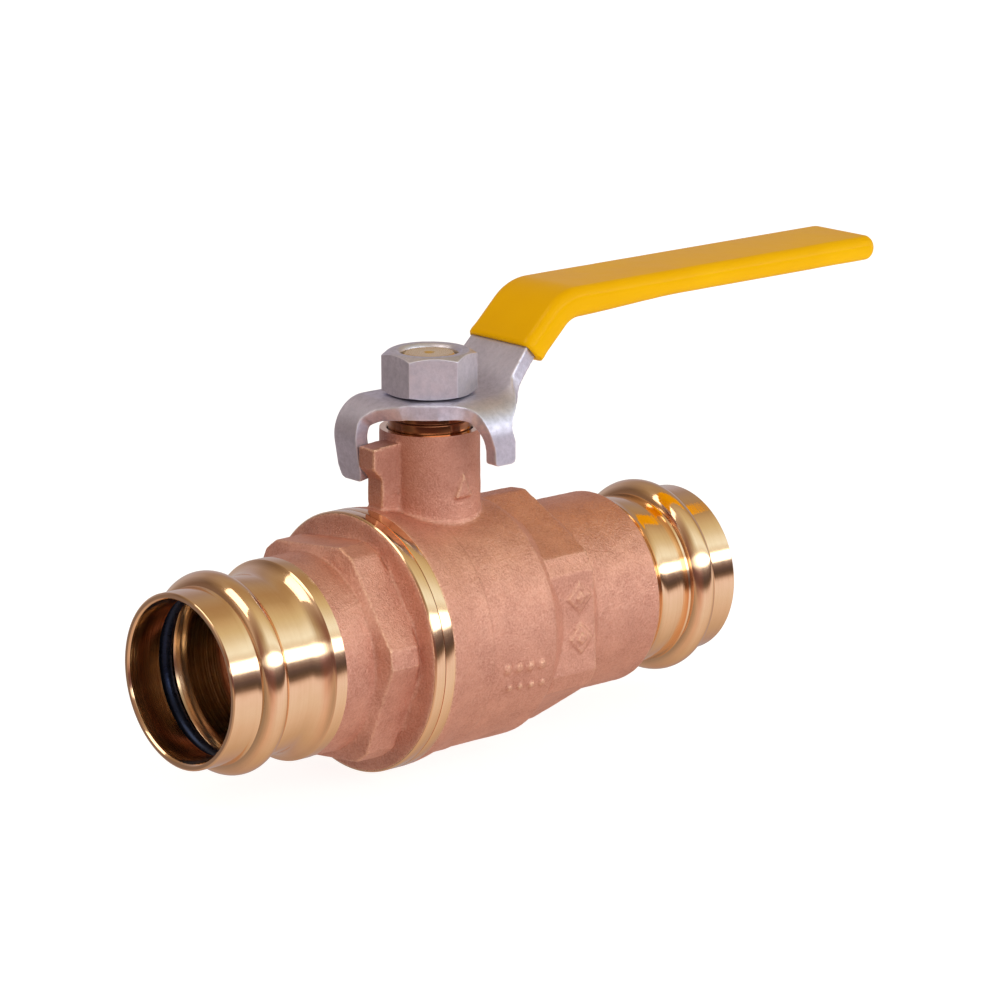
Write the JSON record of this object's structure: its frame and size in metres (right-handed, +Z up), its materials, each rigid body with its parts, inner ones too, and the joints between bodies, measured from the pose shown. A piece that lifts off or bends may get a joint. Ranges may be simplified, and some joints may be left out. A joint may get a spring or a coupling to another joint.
{
  "type": "ball valve",
  "caption": "Two-piece bronze ball valve with press-fit pipe ends, a packed stem and a bent steel lever with a vinyl grip that turns a quarter turn.",
  "frame": {"origin": "centre of the ball, where the pipe axis and the stem axis cross", "axes": "+X along the pipe axis towards the body's own press end, which is also the way the open lever points; +Z up along the stem; +Y completes the right-handed frame"},
  "size_m": [0.1975, 0.0574, 0.1008],
  "materials": {
    "cast_bronze_body": "as cast, machined bright gold at the press end and the joint ring",
    "cast_bronze_cap": "as cast, machined bright gold at the press end and the joint ring",
    "ptfe_body_seal": "smooth white",
    "epdm_seals": "black, lightly greased",
    "ptfe_seats": "smooth white",
    "chromed_brass": "polished chrome plate",
    "brass_stem": "turned",
    "ptfe_packing": "smooth white",
    "brass_gland": "turned",
    "brass_packing_nut": "polished, browned",
    "zinc_plated_lever": "satin zinc plate",
    "yellow_vinyl": "glossy dipped vinyl",
    "zinc_plated_nut": "satin zinc plate"
  },
  "bodies": {
    "housing": {"valve_body": "cast_bronze_body", "end_cap": "cast_bronze_cap", "body_seal_ring": "ptfe_body_seal", "inlet_press_seal": "epdm_seals", "outlet_press_seal": "epdm_seals", "inlet_seat": "ptfe_seats", "outlet_seat": "ptfe_seats", "stem_thrust_washer": "ptfe_packing", "packing_ring_lower": "ptfe_packing", "packing_ring_middle": "ptfe_packing", "packing_ring_upper": "ptfe_packing", "gland_follower": "brass_gland", "packing_nut": "brass_packing_nut"},
    "handle": {"lever": "zinc_plated_lever", "lever_grip": "yellow_vinyl", "lever_nut": "zinc_plated_nut", "stem": "brass_stem"},
    "closure": {"ball": "chromed_brass"}
  },
  "joints": [
    {"name": "lever_turn", "type": "hinge", "parent": "housing", "child": "handle", "pos_m": [0, 0, 0.05], "axis": [0, 0, 1], "range_deg": [-90, 0]},
    {"name": "ball_turn", "type": "hinge", "parent": "housing", "child": "closure", "pos_m": [0, 0, 0], "axis": [0, 0, 1], "range_deg": [-90, 0]}
  ],
  "couplings": [
    {"joint": "ball_turn", "follows": "lever_turn", "ratio": 1}
  ]
}
